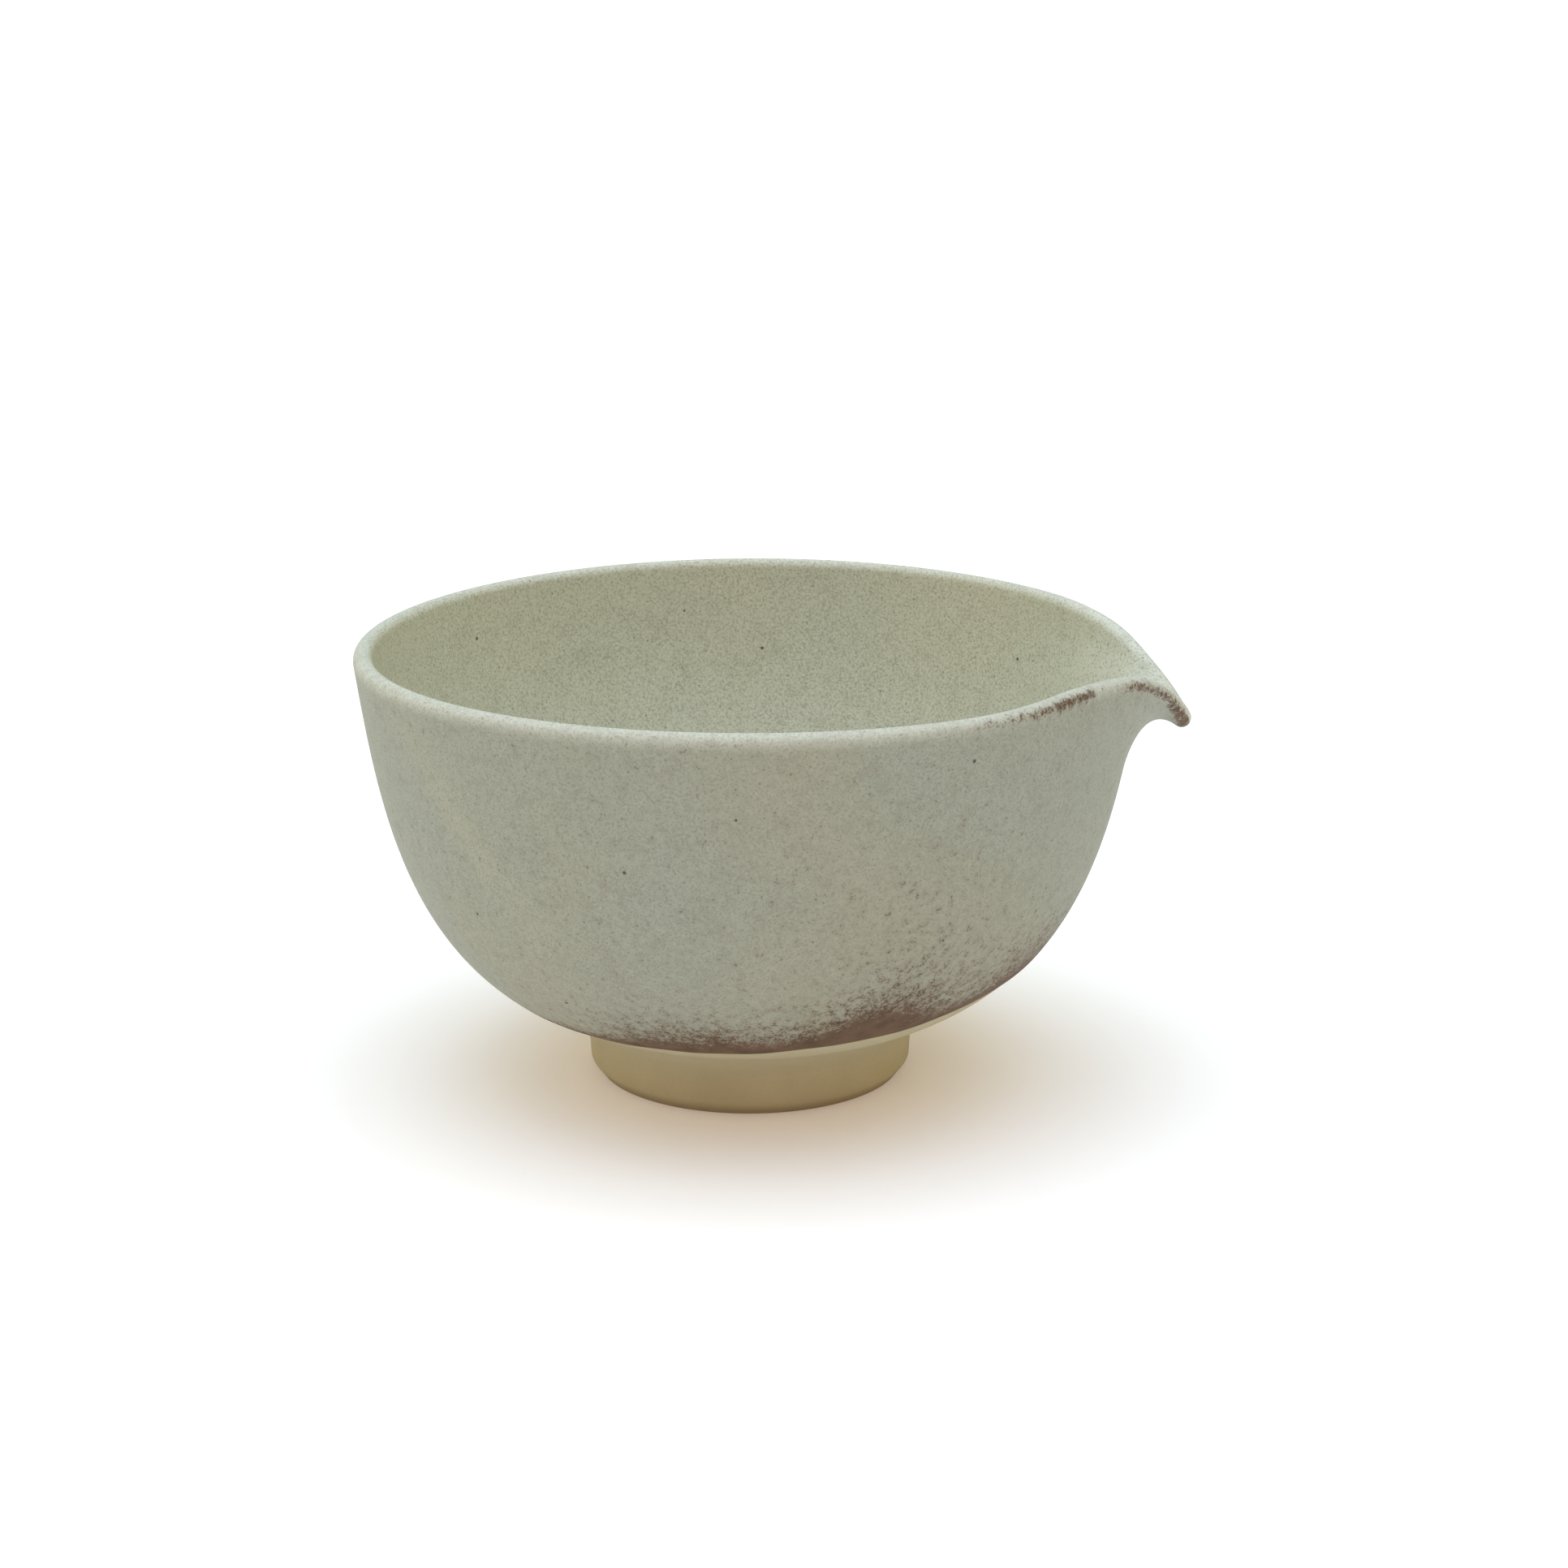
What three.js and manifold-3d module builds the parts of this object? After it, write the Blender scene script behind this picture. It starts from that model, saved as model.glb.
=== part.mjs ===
// A pouring bowl for whisked tea: a thrown stoneware bowl with a pulled lip, a turned foot ring
// and a coat of glaze inside and outside.
// Millimetres, +Z up. The lip points along +X and the foot ring stands on z = 0.
import * as THREE from 'three';
import { mergeVertices } from 'three/addons/utils/BufferGeometryUtils.js';
import Module from 'manifold-3d';

const wasm = await Module();
wasm.setup();

// Bowl, measured over the glaze
const rimDiameter = 135.3;
const bowlHeight = 76.9;
const rimThickness = 3.3;
const floorThickness = 5.6;
const rimLean = THREE.MathUtils.degToRad(7.7);
const upperWallPull = 28;
const undersideSlope = THREE.MathUtils.degToRad(15.7);
const undersidePull = 31;
const footSeatPull = 8;
const recessPull = 16;

// Foot ring
const footDiameter = 57;
const restDiameter = 53;
const footInnerDiameter = 42;
const footHeight = 10.6;
const footRecess = 6;
const footEdgeHeight = 2.2;
const footFillet = 2;
const footFilletEdge = 0.5;
const footDraft = 0.8;

// Pouring lip: how far it reaches out and drops at its tip, and how it fades into the rim and wall.
// The drop sits a little to one side of the reach, as a lip pulled by hand does
const lipReach = 5.8;
const lipDrop = 11.9;
const lipLength = 18.5;
const reachFade = THREE.MathUtils.degToRad(9.7);
const dropFade = THREE.MathUtils.degToRad(8);
const dropTurn = THREE.MathUtils.degToRad(1.5);
const fadePower = 1.55;
const reachPower = 1.6;
const dropPower = 2.2;
const notchWidth = 46;

// Shoulders on both sides of the lip, pinched in and pushed up, and the slow wave of the rim
const shoulderPinch = 1.2;
const shoulderRise = 0.75;
const shoulderAngle = THREE.MathUtils.degToRad(30.5);
const shoulderSpread = THREE.MathUtils.degToRad(12);
const rimWave = 0.4;

// Glaze: its coat stops at an uneven line above the foot, which climbs below the lip
const glazeThickness = 0.45;
const glazeLineHeight = 16.3;
const glazeLineClimb = 9;
const glazeLineSpread = THREE.MathUtils.degToRad(47);

// Clearances: under the glaze, between the two coats, and in the joints between clay pieces
const glazeGap = 0.15;
const coatGap = 0.3;
const jointGap = 0.3;

// Fineness of the facets
const lipZone = THREE.MathUtils.degToRad(40);
const lipZoneSteps = 28;
const bodySteps = 32;
const lipStations = 6;
const wallStations = 10;
const rimArcSteps = 4;
const footSegments = 60;
const footArcSteps = 4;
const footSeatSteps = 6;

// Steps for finding the face's direction from neighbouring points
const smallStep = 0.02;
const smallTurn = THREE.MathUtils.degToRad(0.05);

const coat = glazeThickness + glazeGap;
const rimRadius = rimThickness / 2;
const outerPath = outerLine();
const pathLength = outerPath.getLength();
const stations = stationDistances();
const angles = turnAngles();

// The outer line of the plain round bowl, from the middle of the underside to the rim
function outerLine() {
  const junction = new THREE.Vector2(footDiameter / 2 + footFillet / 2, footHeight);
  const rim = new THREE.Vector2(rimDiameter / 2, bowlHeight - rimRadius * (1 + Math.sin(rimLean)));
  const slope = new THREE.Vector2(Math.cos(undersideSlope), Math.sin(undersideSlope));
  const lean = new THREE.Vector2(Math.sin(rimLean), Math.cos(rimLean));
  const inward = junction.clone().addScaledVector(slope, -footSeatPull);
  const outward = junction.clone().addScaledVector(slope, undersidePull);
  const below = rim.clone().addScaledVector(lean, -upperWallPull);
  const path = new THREE.Path();
  path.moveTo(0, footRecess);
  path.bezierCurveTo(recessPull, footRecess, inward.x, inward.y, junction.x, junction.y);
  path.bezierCurveTo(outward.x, outward.y, below.x, below.y, rim.x, rim.y);
  return path;
}

// Distances from the rim along the outer line, listed from the middle of the underside to the rim
function stationDistances() {
  const distances = [];
  for (let i = 0; i < wallStations; i += 1) {
    distances.push(pathLength + (lipLength - pathLength) * (i / wallStations));
  }
  for (let i = lipStations; i >= 0; i -= 1) {
    distances.push(lipLength * (i / lipStations) ** 1.3);
  }
  return distances;
}

// Angles round the axis, closest together at the tip of the lip
function turnAngles() {
  const list = [];
  for (let i = 0; i < lipZoneSteps; i += 1) {
    const side = (2 * i) / lipZoneSteps - 1;
    list.push(lipZone * (0.45 * side + 0.55 * side ** 3));
  }
  for (let i = 0; i < bodySteps; i += 1) {
    list.push(lipZone + ((2 * Math.PI - 2 * lipZone) * i) / bodySteps);
  }
  return list;
}

// Angle from the lip's own direction, between minus and plus half a turn
function fromLip(angle) {
  return Math.atan2(Math.sin(angle), Math.cos(angle));
}

// How strongly the lip is pulled at an angle: 1 at its middle, fading to 0 along the rim
function lipPull(angle, middle, fade) {
  return 1 / Math.cosh(fromLip(angle - middle) / fade) ** fadePower;
}

// 1 at the middle of either shoulder of the lip, fading to 0 away from it
function shoulder(angle) {
  const off = (Math.abs(fromLip(angle)) - shoulderAngle) / shoulderSpread;
  return Math.exp(-off * off);
}

// A point of the glazed outer face: the round bowl's line with its lip and shoulders worked in
function outerPoint(angle, distance) {
  const point = outerPath.getPoint(1 - distance / pathLength);
  const share = Math.max(0, 1 - distance / lipLength);
  const reach = lipReach * lipPull(angle, 0, reachFade) * share ** reachPower;
  const drop = lipDrop * lipPull(angle, dropTurn, dropFade) * share ** dropPower;
  const lift = shoulderRise * shoulder(angle) - rimWave * Math.cos(2 * angle);
  const radius = point.x + reach - shoulderPinch * shoulder(angle) * share ** 2;
  const height = point.y - drop + lift * share ** 2;
  return new THREE.Vector3(radius * Math.cos(angle), radius * Math.sin(angle), height);
}

// Place, outward normal and direction to the rim at a point of the outer face
function faceAt(angle, distance) {
  const place = outerPoint(angle, distance);
  const around = new THREE.Vector3(-Math.sin(angle), Math.cos(angle), 0);
  const normal = new THREE.Vector3(0, 0, -1);
  if (distance < pathLength) {
    const ahead = outerPoint(angle, Math.max(0, distance - smallStep));
    const behind = outerPoint(angle, distance + smallStep);
    around.subVectors(outerPoint(angle + smallTurn, distance), outerPoint(angle - smallTurn, distance));
    around.normalize();
    normal.crossVectors(around, ahead.sub(behind)).normalize();
  }
  return { place, normal, along: normal.clone().cross(around) };
}

// Full thickness of the wall, growing from the rim to the middle of the floor
function thicknessAt(distance) {
  return rimThickness + (floorThickness - rimThickness) * (distance / pathLength);
}

// One side of the wall at a depth below its glazed face, from the axis to the rim
function outerSide(angle, depth) {
  return stations.map((distance) => {
    const face = faceAt(angle, distance);
    return face.place.addScaledVector(face.normal, -depth);
  });
}

function innerSide(angle, depth) {
  return stations.map((distance) => {
    const face = faceAt(angle, distance);
    return face.place.addScaledVector(face.normal, depth - thicknessAt(distance));
  });
}

// Part of the rim's round edge, turning from the outer side (0) to the inner side (half a turn)
function rimArc(angle, depth, from, to) {
  const face = faceAt(angle, 0);
  const centre = face.place.clone().addScaledVector(face.normal, -rimRadius);
  const points = [];
  for (let i = 1; i <= rimArcSteps; i += 1) {
    const turn = from + ((to - from) * (i - 0.5)) / rimArcSteps;
    const point = centre.clone();
    point.addScaledVector(face.normal, (rimRadius - depth) * Math.cos(turn));
    point.addScaledVector(face.along, (rimRadius - depth) * Math.sin(turn));
    points.push(point);
  }
  return points;
}

// Section of the whole clay wall and floor, from the axis round the rim and back to the axis
function claySection(angle) {
  return [
    ...outerSide(angle, coat),
    ...rimArc(angle, coat, 0, Math.PI),
    ...innerSide(angle, coat).reverse(),
  ];
}

// Section of the coat inside the bowl, ending at the top of the rim
function innerGlazeSection(angle) {
  const stop = Math.PI / 2 + coatGap / rimThickness;
  return [
    ...innerSide(angle, glazeThickness),
    ...rimArc(angle, glazeThickness, Math.PI, stop),
    ...rimArc(angle, 0, stop, Math.PI),
    ...innerSide(angle, 0).reverse(),
  ];
}

// Height of the lower edge of the outside coat
function glazeLine(angle) {
  const turn = fromLip(angle) / glazeLineSpread;
  return glazeLineHeight + glazeLineClimb * Math.exp(-turn * turn);
}

// One side of the outside coat: stations below the glaze line are drawn up to it
function glazedSide(angle, depth) {
  const height = glazeLine(angle);
  const face = outerSide(angle, 0);
  const side = outerSide(angle, depth);
  const first = face.findIndex((point) => point.z > height);
  const share = (height - face[first - 1].z) / (face[first].z - face[first - 1].z);
  const edge = side[first - 1].clone().lerp(side[first], share);
  return side.map((point, i) => (i < first ? edge : point));
}

// Section of the coat outside the bowl, from the glaze line to the top of the rim
function outerGlazeSection(angle) {
  const stop = Math.PI / 2 - coatGap / rimThickness;
  return [
    ...glazedSide(angle, 0),
    ...rimArc(angle, 0, 0, stop),
    ...rimArc(angle, glazeThickness, stop, 0),
    ...glazedSide(angle, glazeThickness).reverse(),
  ];
}

// A closed solid from one section at each angle; flat slivers where points meet are left out
function sweptGeometry(sectionAt) {
  const sections = angles.map(sectionAt);
  const count = sections[0].length;
  const points = sections.flat();
  const positions = points.flatMap((point) => [point.x, point.y, point.z]);
  const index = [];
  for (let a = 0; a < angles.length; a += 1) {
    const here = a * count;
    const next = ((a + 1) % angles.length) * count;
    for (let k = 0; k < count; k += 1) {
      const up = (k + 1) % count;
      const corners = [here + k, next + k, next + up, here + up];
      index.push(...splitQuad(points, corners));
    }
  }
  const geometry = new THREE.BufferGeometry();
  geometry.setAttribute('position', new THREE.Float32BufferAttribute(positions, 3));
  geometry.setIndex(index);
  return withoutSlivers(mergeVertices(geometry, 1e-4));
}

// Two triangles from four corners, split along the shorter diagonal so that layers stay parallel
function splitQuad(points, [a, b, c, d]) {
  const first = points[a].distanceToSquared(points[c]);
  const second = points[b].distanceToSquared(points[d]);
  return first <= second ? [a, b, c, a, c, d] : [a, b, d, b, c, d];
}

function withoutSlivers(geometry) {
  const old = geometry.index.array;
  const index = [];
  for (let i = 0; i < old.length; i += 3) {
    const [a, b, c] = [old[i], old[i + 1], old[i + 2]];
    if (a !== b && b !== c && c !== a) {
      index.push(a, b, c);
    }
  }
  geometry.setIndex(index);
  return geometry;
}

function toManifold(geometry) {
  const plain = geometry.clone();
  plain.deleteAttribute('normal');
  plain.deleteAttribute('uv');
  const merged = mergeVertices(plain, 1e-4);
  return new wasm.Manifold(new wasm.Mesh({
    numProp: 3,
    vertProperties: new Float32Array(merged.attributes.position.array),
    triVerts: new Uint32Array(merged.index.array),
  }));
}

function toGeometry(manifold) {
  const mesh = manifold.getMesh();
  const geometry = new THREE.BufferGeometry();
  geometry.setAttribute('position', new THREE.Float32BufferAttribute(mesh.vertProperties, 3));
  geometry.setIndex(Array.from(mesh.triVerts));
  return geometry;
}

// A block that covers the lip's notch in the rim, made smaller by a clearance on its three seats
function notchBlock(clearance) {
  const bottom = bowlHeight - lipLength + clearance;
  const top = bowlHeight + lipReach;
  const inside = rimDiameter / 2 - notchWidth;
  const outside = rimDiameter / 2 + lipReach + notchWidth;
  const block = new THREE.BoxGeometry(outside - inside, notchWidth - 2 * clearance, top - bottom);
  block.translate((inside + outside) / 2, 0, (bottom + top) / 2);
  return toManifold(block);
}

// The clay bowl without its lip, and the lip that is luted into its notch
function clayPieces() {
  const whole = toManifold(sweptGeometry(claySection));
  return {
    wall: toGeometry(whole.subtract(notchBlock(0))),
    lip: toGeometry(whole.intersect(notchBlock(jointGap))),
  };
}

// Height of the clay's underside at a radius, on the facets of the wall
function undersideHeight(radius) {
  const side = outerSide(Math.PI, coat);
  const i = side.findIndex((point) => -point.x > radius);
  const share = (radius + side[i - 1].x) / (side[i - 1].x - side[i].x);
  return side[i - 1].z + (side[i].z - side[i - 1].z) * share;
}

// The foot ring: flat rest face, rounded lower edge, a fillet up to the bowl's underside
function footGeometry() {
  const footRadius = footDiameter / 2;
  const innerRadius = footInnerDiameter / 2;
  const filletRadius = footRadius + footFillet;
  const seat = (radius) => undersideHeight(radius) - jointGap;
  const edgeWidth = footRadius - restDiameter / 2;
  const filletTop = seat(filletRadius) - footFilletEdge;
  const profile = [new THREE.Vector2(innerRadius + footDraft, 0)];
  for (let i = 0; i <= footArcSteps; i += 1) {
    const turn = (i / footArcSteps) * (Math.PI / 2);
    profile.push(new THREE.Vector2(
      restDiameter / 2 + edgeWidth * Math.sin(turn),
      footEdgeHeight * (1 - Math.cos(turn)),
    ));
  }
  for (let i = 0; i <= footArcSteps; i += 1) {
    const turn = (i / footArcSteps) * (Math.PI / 2);
    profile.push(new THREE.Vector2(
      filletRadius - footFillet * Math.cos(turn),
      filletTop - footFillet * (1 - Math.sin(turn)),
    ));
  }
  for (let i = 0; i <= footSeatSteps; i += 1) {
    const radius = filletRadius + ((innerRadius - filletRadius) * i) / footSeatSteps;
    profile.push(new THREE.Vector2(radius, seat(radius)));
  }
  profile.push(profile[0].clone());
  const ring = new THREE.LatheGeometry(profile, footSegments);
  ring.rotateX(Math.PI / 2);
  return ring;
}

const stoneware = new THREE.MeshStandardMaterial({ color: 0xb9a888, roughness: 0.85, metalness: 0 });
const innerCoat = new THREE.MeshStandardMaterial({ color: 0xa7aa95, roughness: 0.55, metalness: 0 });
const outerCoat = new THREE.MeshStandardMaterial({ color: 0xa3a496, roughness: 0.55, metalness: 0 });

function piece(name, geometry, material) {
  const mesh = new THREE.Mesh(geometry, material);
  mesh.name = name;
  return mesh;
}

const clay = clayPieces();
const group = new THREE.Group();
group.name = 'matcha_pouring_bowl';
group.add(piece('bowl_wall', clay.wall, stoneware));
group.add(piece('pouring_lip', clay.lip, stoneware));
group.add(piece('foot_ring', footGeometry(), stoneware));
group.add(piece('inner_glaze', sweptGeometry(innerGlazeSection), innerCoat));
group.add(piece('outer_glaze', sweptGeometry(outerGlazeSection), outerCoat));

// The origin is the middle of the outer box, on the rest face
const box = new THREE.Box3().setFromObject(group);
const middle = box.getCenter(new THREE.Vector3());
group.children.forEach((mesh) => mesh.geometry.translate(-middle.x, -middle.y, -box.min.z));
group.children.forEach((mesh) => mesh.geometry.computeVertexNormals());

export default group;
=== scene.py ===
# A pouring bowl for whisked tea: a thrown clay wall with a pulled lip, a turned foot ring, and a
# speckled coat of glaze inside and outside that breaks to rust where it lies thin.
import math

import bpy
import numpy as np
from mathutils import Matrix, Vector


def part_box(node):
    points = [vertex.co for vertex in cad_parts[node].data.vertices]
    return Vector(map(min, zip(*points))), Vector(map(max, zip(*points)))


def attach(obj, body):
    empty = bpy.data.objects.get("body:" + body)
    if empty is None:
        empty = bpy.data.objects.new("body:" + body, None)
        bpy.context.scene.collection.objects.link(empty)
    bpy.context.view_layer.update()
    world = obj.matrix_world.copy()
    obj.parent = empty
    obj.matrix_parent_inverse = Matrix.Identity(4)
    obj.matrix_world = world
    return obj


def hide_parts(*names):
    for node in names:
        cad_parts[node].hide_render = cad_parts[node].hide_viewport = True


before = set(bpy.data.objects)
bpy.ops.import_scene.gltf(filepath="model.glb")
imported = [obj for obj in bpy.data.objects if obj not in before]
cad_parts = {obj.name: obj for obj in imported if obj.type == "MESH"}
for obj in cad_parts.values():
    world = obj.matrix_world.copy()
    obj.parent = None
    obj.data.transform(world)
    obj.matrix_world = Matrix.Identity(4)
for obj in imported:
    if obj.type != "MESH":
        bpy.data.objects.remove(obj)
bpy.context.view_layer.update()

# Bowl, measured over the glaze, in metres
RIM_RADIUS = 0.06765
BOWL_HEIGHT = 0.0769
RIM_THICKNESS = 0.0033
FLOOR_THICKNESS = 0.0056
RIM_LEAN = math.radians(7.7)
UPPER_WALL_PULL = 0.028
UNDERSIDE_SLOPE = math.radians(15.7)
UNDERSIDE_PULL = 0.031
FOOT_SEAT_PULL = 0.008
RECESS_PULL = 0.016

# Foot ring
FOOT_RADIUS = 0.0285
REST_RADIUS = 0.0265
FOOT_INNER_RADIUS = 0.021
FOOT_HEIGHT = 0.0106
FOOT_RECESS = 0.006
FOOT_EDGE_HEIGHT = 0.0022
FOOT_EDGE_ROUND = 0.0014
FOOT_TAPER = 0.0003
FOOT_FILLET = 0.0034
FOOT_DRAFT = 0.0008
FOOT_SEAT_SHIFT = 0.001
FOOT_INNER_EDGE = 0.0005
FOOT_BEDDING = 0.0004

# Pouring lip: reach and drop at its tip, and how they fade along the rim and down the wall
LIP_REACH = 0.0058
LIP_DROP = 0.0119
LIP_LENGTH = 0.0185
REACH_FADE = math.radians(9.7)
DROP_FADE = math.radians(8)
DROP_TURN = math.radians(1.5)
FADE_POWER = 1.55
REACH_POWER = 1.6
DROP_POWER = 2.2
NOTCH_WIDTH = 0.046
JOINT_GAP = 0.0003

# Shoulders beside the lip, and the slow wave of the rim
SHOULDER_PINCH = 0.0012
SHOULDER_RISE = 0.00075
SHOULDER_ANGLE = math.radians(30.5)
SHOULDER_SPREAD = math.radians(12)
RIM_WAVE = 0.0004

# Shallow hollows where the fingers held the wall while the lip was pulled
HOLLOW_DEPTH = 0.0004
HOLLOW_ANGLE = math.radians(20)
HOLLOW_SPREAD = math.radians(4.5)
HOLLOW_PLACE = 0.0095
HOLLOW_LENGTH = 0.006

# Glaze coat and the uneven line where it stops above the foot
GLAZE_THICKNESS = 0.00045
GLAZE_BEDDING = 0.00003
GLAZE_BEAD = 0.0009
GLAZE_LINE_HEIGHT = 0.0163
GLAZE_LINE_CLIMB = 0.009
GLAZE_LINE_SPREAD = math.radians(47)
GLAZE_LINE_SWAY = 0.00022
GLAZE_LINE_WAVES = ((5, 1, 1), (11, 0.6, 2.3), (23, 0.35, 0))

# Fineness of the thrown pieces
TURN_STEPS = 360
LIP_CROWDING = 0.5
LINE_SAMPLES = 500
BEAD_STEPS = 6
RIM_STEPS = 14
OUTER_WALL_STEPS = 64
OUTER_HIDDEN_STEPS = 24
INNER_WALL_STEPS = 72
INNER_HIDDEN_STEPS = 30
CLAY_RIM_STEPS = 13
HIDDEN_RIM_STRIDE = 4
WALL_CROWDING = 1.25
CREST_STEP = math.radians(1)
FOOT_INNER_STEPS = 5
FOOT_EDGE_STEPS = 6
FOOT_FILLET_STEPS = 12
FOOT_SEAT_STEPS = 8
SMALL_STEP = 0.00002
SMALL_LENGTH = 1e-12
SMALL_TURN = math.radians(0.05)
SMOOTH_ANGLE = math.radians(40)
MERGE_DISTANCE = 1e-6

# Camera: distance, height and turn of the photograph, aimed beside the bowl's axis
CAMERA_DISTANCE = 0.5874
CAMERA_ELEVATION = math.radians(15.5)
CAMERA_TURN = math.radians(4.7)
AIM_ASIDE = 0.00602
AIM_HEIGHT = 0.05095
CAMERA_LENS_MM = 77.52
CAMERA_SENSOR_MM = 36

# Studio: a white table that glows a little from below as painted light, lifting and warming the shadow
# under the bowl, and soft light from above and from the sides
FLOOR_SIZE = 30
FLOOR_ROUGHNESS = 0.9
FLOOR_WHITE = (0.9, 0.9, 0.9, 1)
FLOOR_GLOW = (0.225, 0.182, 0.166, 1)
ROOM_LOBES = (
    ("Z", 1, 5, (2.81, 3.28, 3.9)),
    ("X", -1, 1, (0.75, 0.67, 0.38)),
    ("X", 1, 1, (0.49, 0.38, 0.09)),
    ("Y", -1, 1, (0.1, 0.01, 0.0)),
    ("Y", 1, 1, (0.0, 0.09, 0.05)),
)

# Rust above the lower edge of the coat: each stretch has a middle and a spread round the bowl,
# a height that it climbs and a weight
RUST_LINE_HEIGHT = 0.0007
RUST_BAND_HEIGHT = 0.0034
RUST_BAND_WEIGHT = 0.5
RUST_FRONT = (math.radians(-94), math.radians(24), 0.012, 0.78)
RUST_PATCH = (math.radians(-61), math.radians(11), 0.0095, 0.9)
RUST_VEIL = (math.radians(-58), math.radians(14), 0.028, 0.36)
RUST_LIP = (math.radians(-26), math.radians(18), 0.015, 0.56)

# Rust on the rim: the near and the far stretch each start, are whole, begin to fade and end at an
# angle from the lip in degrees, and have a weight; the cheek and the tip have a middle, a spread
# and a weight
RIM_BREAK_NEAR = (-64, -32, -28.5, -26.5, 0.6)
RIM_BREAK_FAR = (-64, -34, -31, -20, 0.5)
RIM_BREAK_CHEEK = (-15, 6, 0.5)
RIM_BREAK_TIP = (0, 9, 0.85)
RIM_BREAK_PLACE = 0.002
RIM_BREAK_TIP_PLACE = 0.0011
RIM_BREAK_WIDTH = 0.001
RIM_BREAK_TIP_WIDENING = 0.6

# A yellowish streak on the outside, left of the middle, slanting down towards the lip
STREAK_TURN = math.radians(-130.5)
STREAK_MIDDLE = 0.0185
STREAK_SLANT = math.radians(13) / 0.0213
STREAK_SPREAD = math.radians(5)
STREAK_LENGTH = 0.016
STREAK_WEIGHT = 0.55

# Single iron spots: turn from the lip in degrees, distance below the rim, and radius
INSIDE_SPOTS = ((147.5, 0.0075, 0.0004), (93, 0.0151, 0.0004), (43, 0.0116, 0.0004),
                (106.5, 0.0077, 0.00028))
OUTSIDE_SPOTS = ((-102.5, 0.0218, 0.00038), (-132, 0.0354, 0.00036), (-53, 0.0048, 0.0004),
                 (-86.5, 0.0118, 0.0003), (-119.5, 0.052, 0.00036))

# Looks of the glaze: grain and clouds as sizes and weights, specks as cell, radius, share and weight
GLAZE_ROUGHNESS = 0.6
SURFACE_GLOSS = 0.22
GRAIN_SIZE = 0.00044
GRAIN_DEPTH = 0.00007
GRAIN_LOW, GRAIN_MIDDLE, GRAIN_HIGH = 0.3, 0.5, 0.7
INSIDE_SAND = 0.65
OUTSIDE_SAND = 0.55
CLOUD_SIZE = 0.004
CLOUD_FULL = 0.8
CLOUD_WEIGHT = 0.3
DRIFT_SIZE = 0.045
DRIFT_STOPS = (0.35, 0.5, 0.65)
FINE_SPECKS = ((0.0006, 0.0002, 0.9, 0.5), (0.0012, 0.00034, 0.55, 0.6))
SPECK_SOFTNESS = 1 / 1.5
SPOT_WEIGHT = 0.85
RUST_GRANULES = 1.4
RUST_CLOUDS = 0.9
RUST_CLOUD_SIZE = 0.0014
RUST_TONE_SIZE = 0.003
RUST_FROM, RUST_WHOLE = 0.05, 0.75
TONE_STOPS = (0.35, 0.65)
# Widths over which the painted highlight along the crest fades, outside and inside
CREST_HIGHLIGHT_SPREAD = 0.0038
CREST_HIGHLIGHT_SPREAD_INSIDE = 0.0018
PALE_LIP_TURN = math.radians(22)
PALE_LIP_SPREAD = math.radians(15)
PALE_LIP_PLACE = 0.008
PALE_LIP_LENGTH = 0.009
PALE_LIP_WEIGHT = 0.8
LIP_PALE = (0.76, 0.78, 0.70, 1)
# Painted highlight: the crest of the rim made paler where the light from above falls on it
CREST_HIGHLIGHT_TONE = (0.59, 0.59, 0.505, 1)
# Inside and outside tones are lit and shaded copies of one sage glaze: the darker outside tones are
# painted shade
INSIDE_SAGE_LIT = ((0.585, 0.598, 0.495, 1), (0.605, 0.603, 0.49, 1), (0.62, 0.603, 0.48, 1))
INSIDE_PALE_LIT = (0.70, 0.71, 0.605, 1)
INSIDE_DUSK_LIT = (0.36, 0.345, 0.253, 1)
OUTSIDE_SAGE_SHADED = ((0.354, 0.371, 0.309, 1), (0.364, 0.371, 0.30, 1), (0.379, 0.371, 0.285, 1))
OUTSIDE_PALE_SHADED = (0.445, 0.455, 0.375, 1)
OUTSIDE_DUSK_SHADED = (0.242, 0.233, 0.176, 1)
GLAZE_STREAK = (0.44, 0.43, 0.315, 1)
IRON_BROWN = (0.165, 0.15, 0.115, 1)
IRON_BLACK = (0.035, 0.03, 0.022, 1)
RUST_LIGHT = (0.15, 0.09, 0.055, 1)
RUST_DARK = (0.10, 0.058, 0.034, 1)

# Looks of the bare clay
CLAY_ROUGHNESS = 0.75
CLAY_GRAIN_SIZE = 0.0005
CLAY_GRAIN_DEPTH = 0.00002
CLAY_TONE_SIZE = 0.012
CLAY_SAND_FROM = 0.45
CLAY_SAND_WEIGHT = 0.2
CLAY_SPECKS = (0.004, 0.0002, 0.3, 0.5)
# Painted shade: height over which the foot darkens towards its rest face
CONTACT_SHADE_HEIGHT = 1.4 * FOOT_EDGE_HEIGHT
CLAY_LIGHT = (0.567, 0.498, 0.338, 1)
CLAY_DARK = (0.513, 0.449, 0.296, 1)
CLAY_SAND = (0.41, 0.353, 0.229, 1)
CLAY_CREAM = (0.51, 0.465, 0.32, 1)
# Painted shade at the foot's rest face
CLAY_CONTACT_SHADE = (0.32, 0.27, 0.166, 1)
CREAM_FROM = FOOT_HEIGHT - 0.0036
CREAM_FULL = FOOT_HEIGHT - 0.0008

foot_low, foot_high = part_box("foot_ring")
AXIS_X = (foot_low.x + foot_high.x) / 2


# Camera and studio

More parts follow.
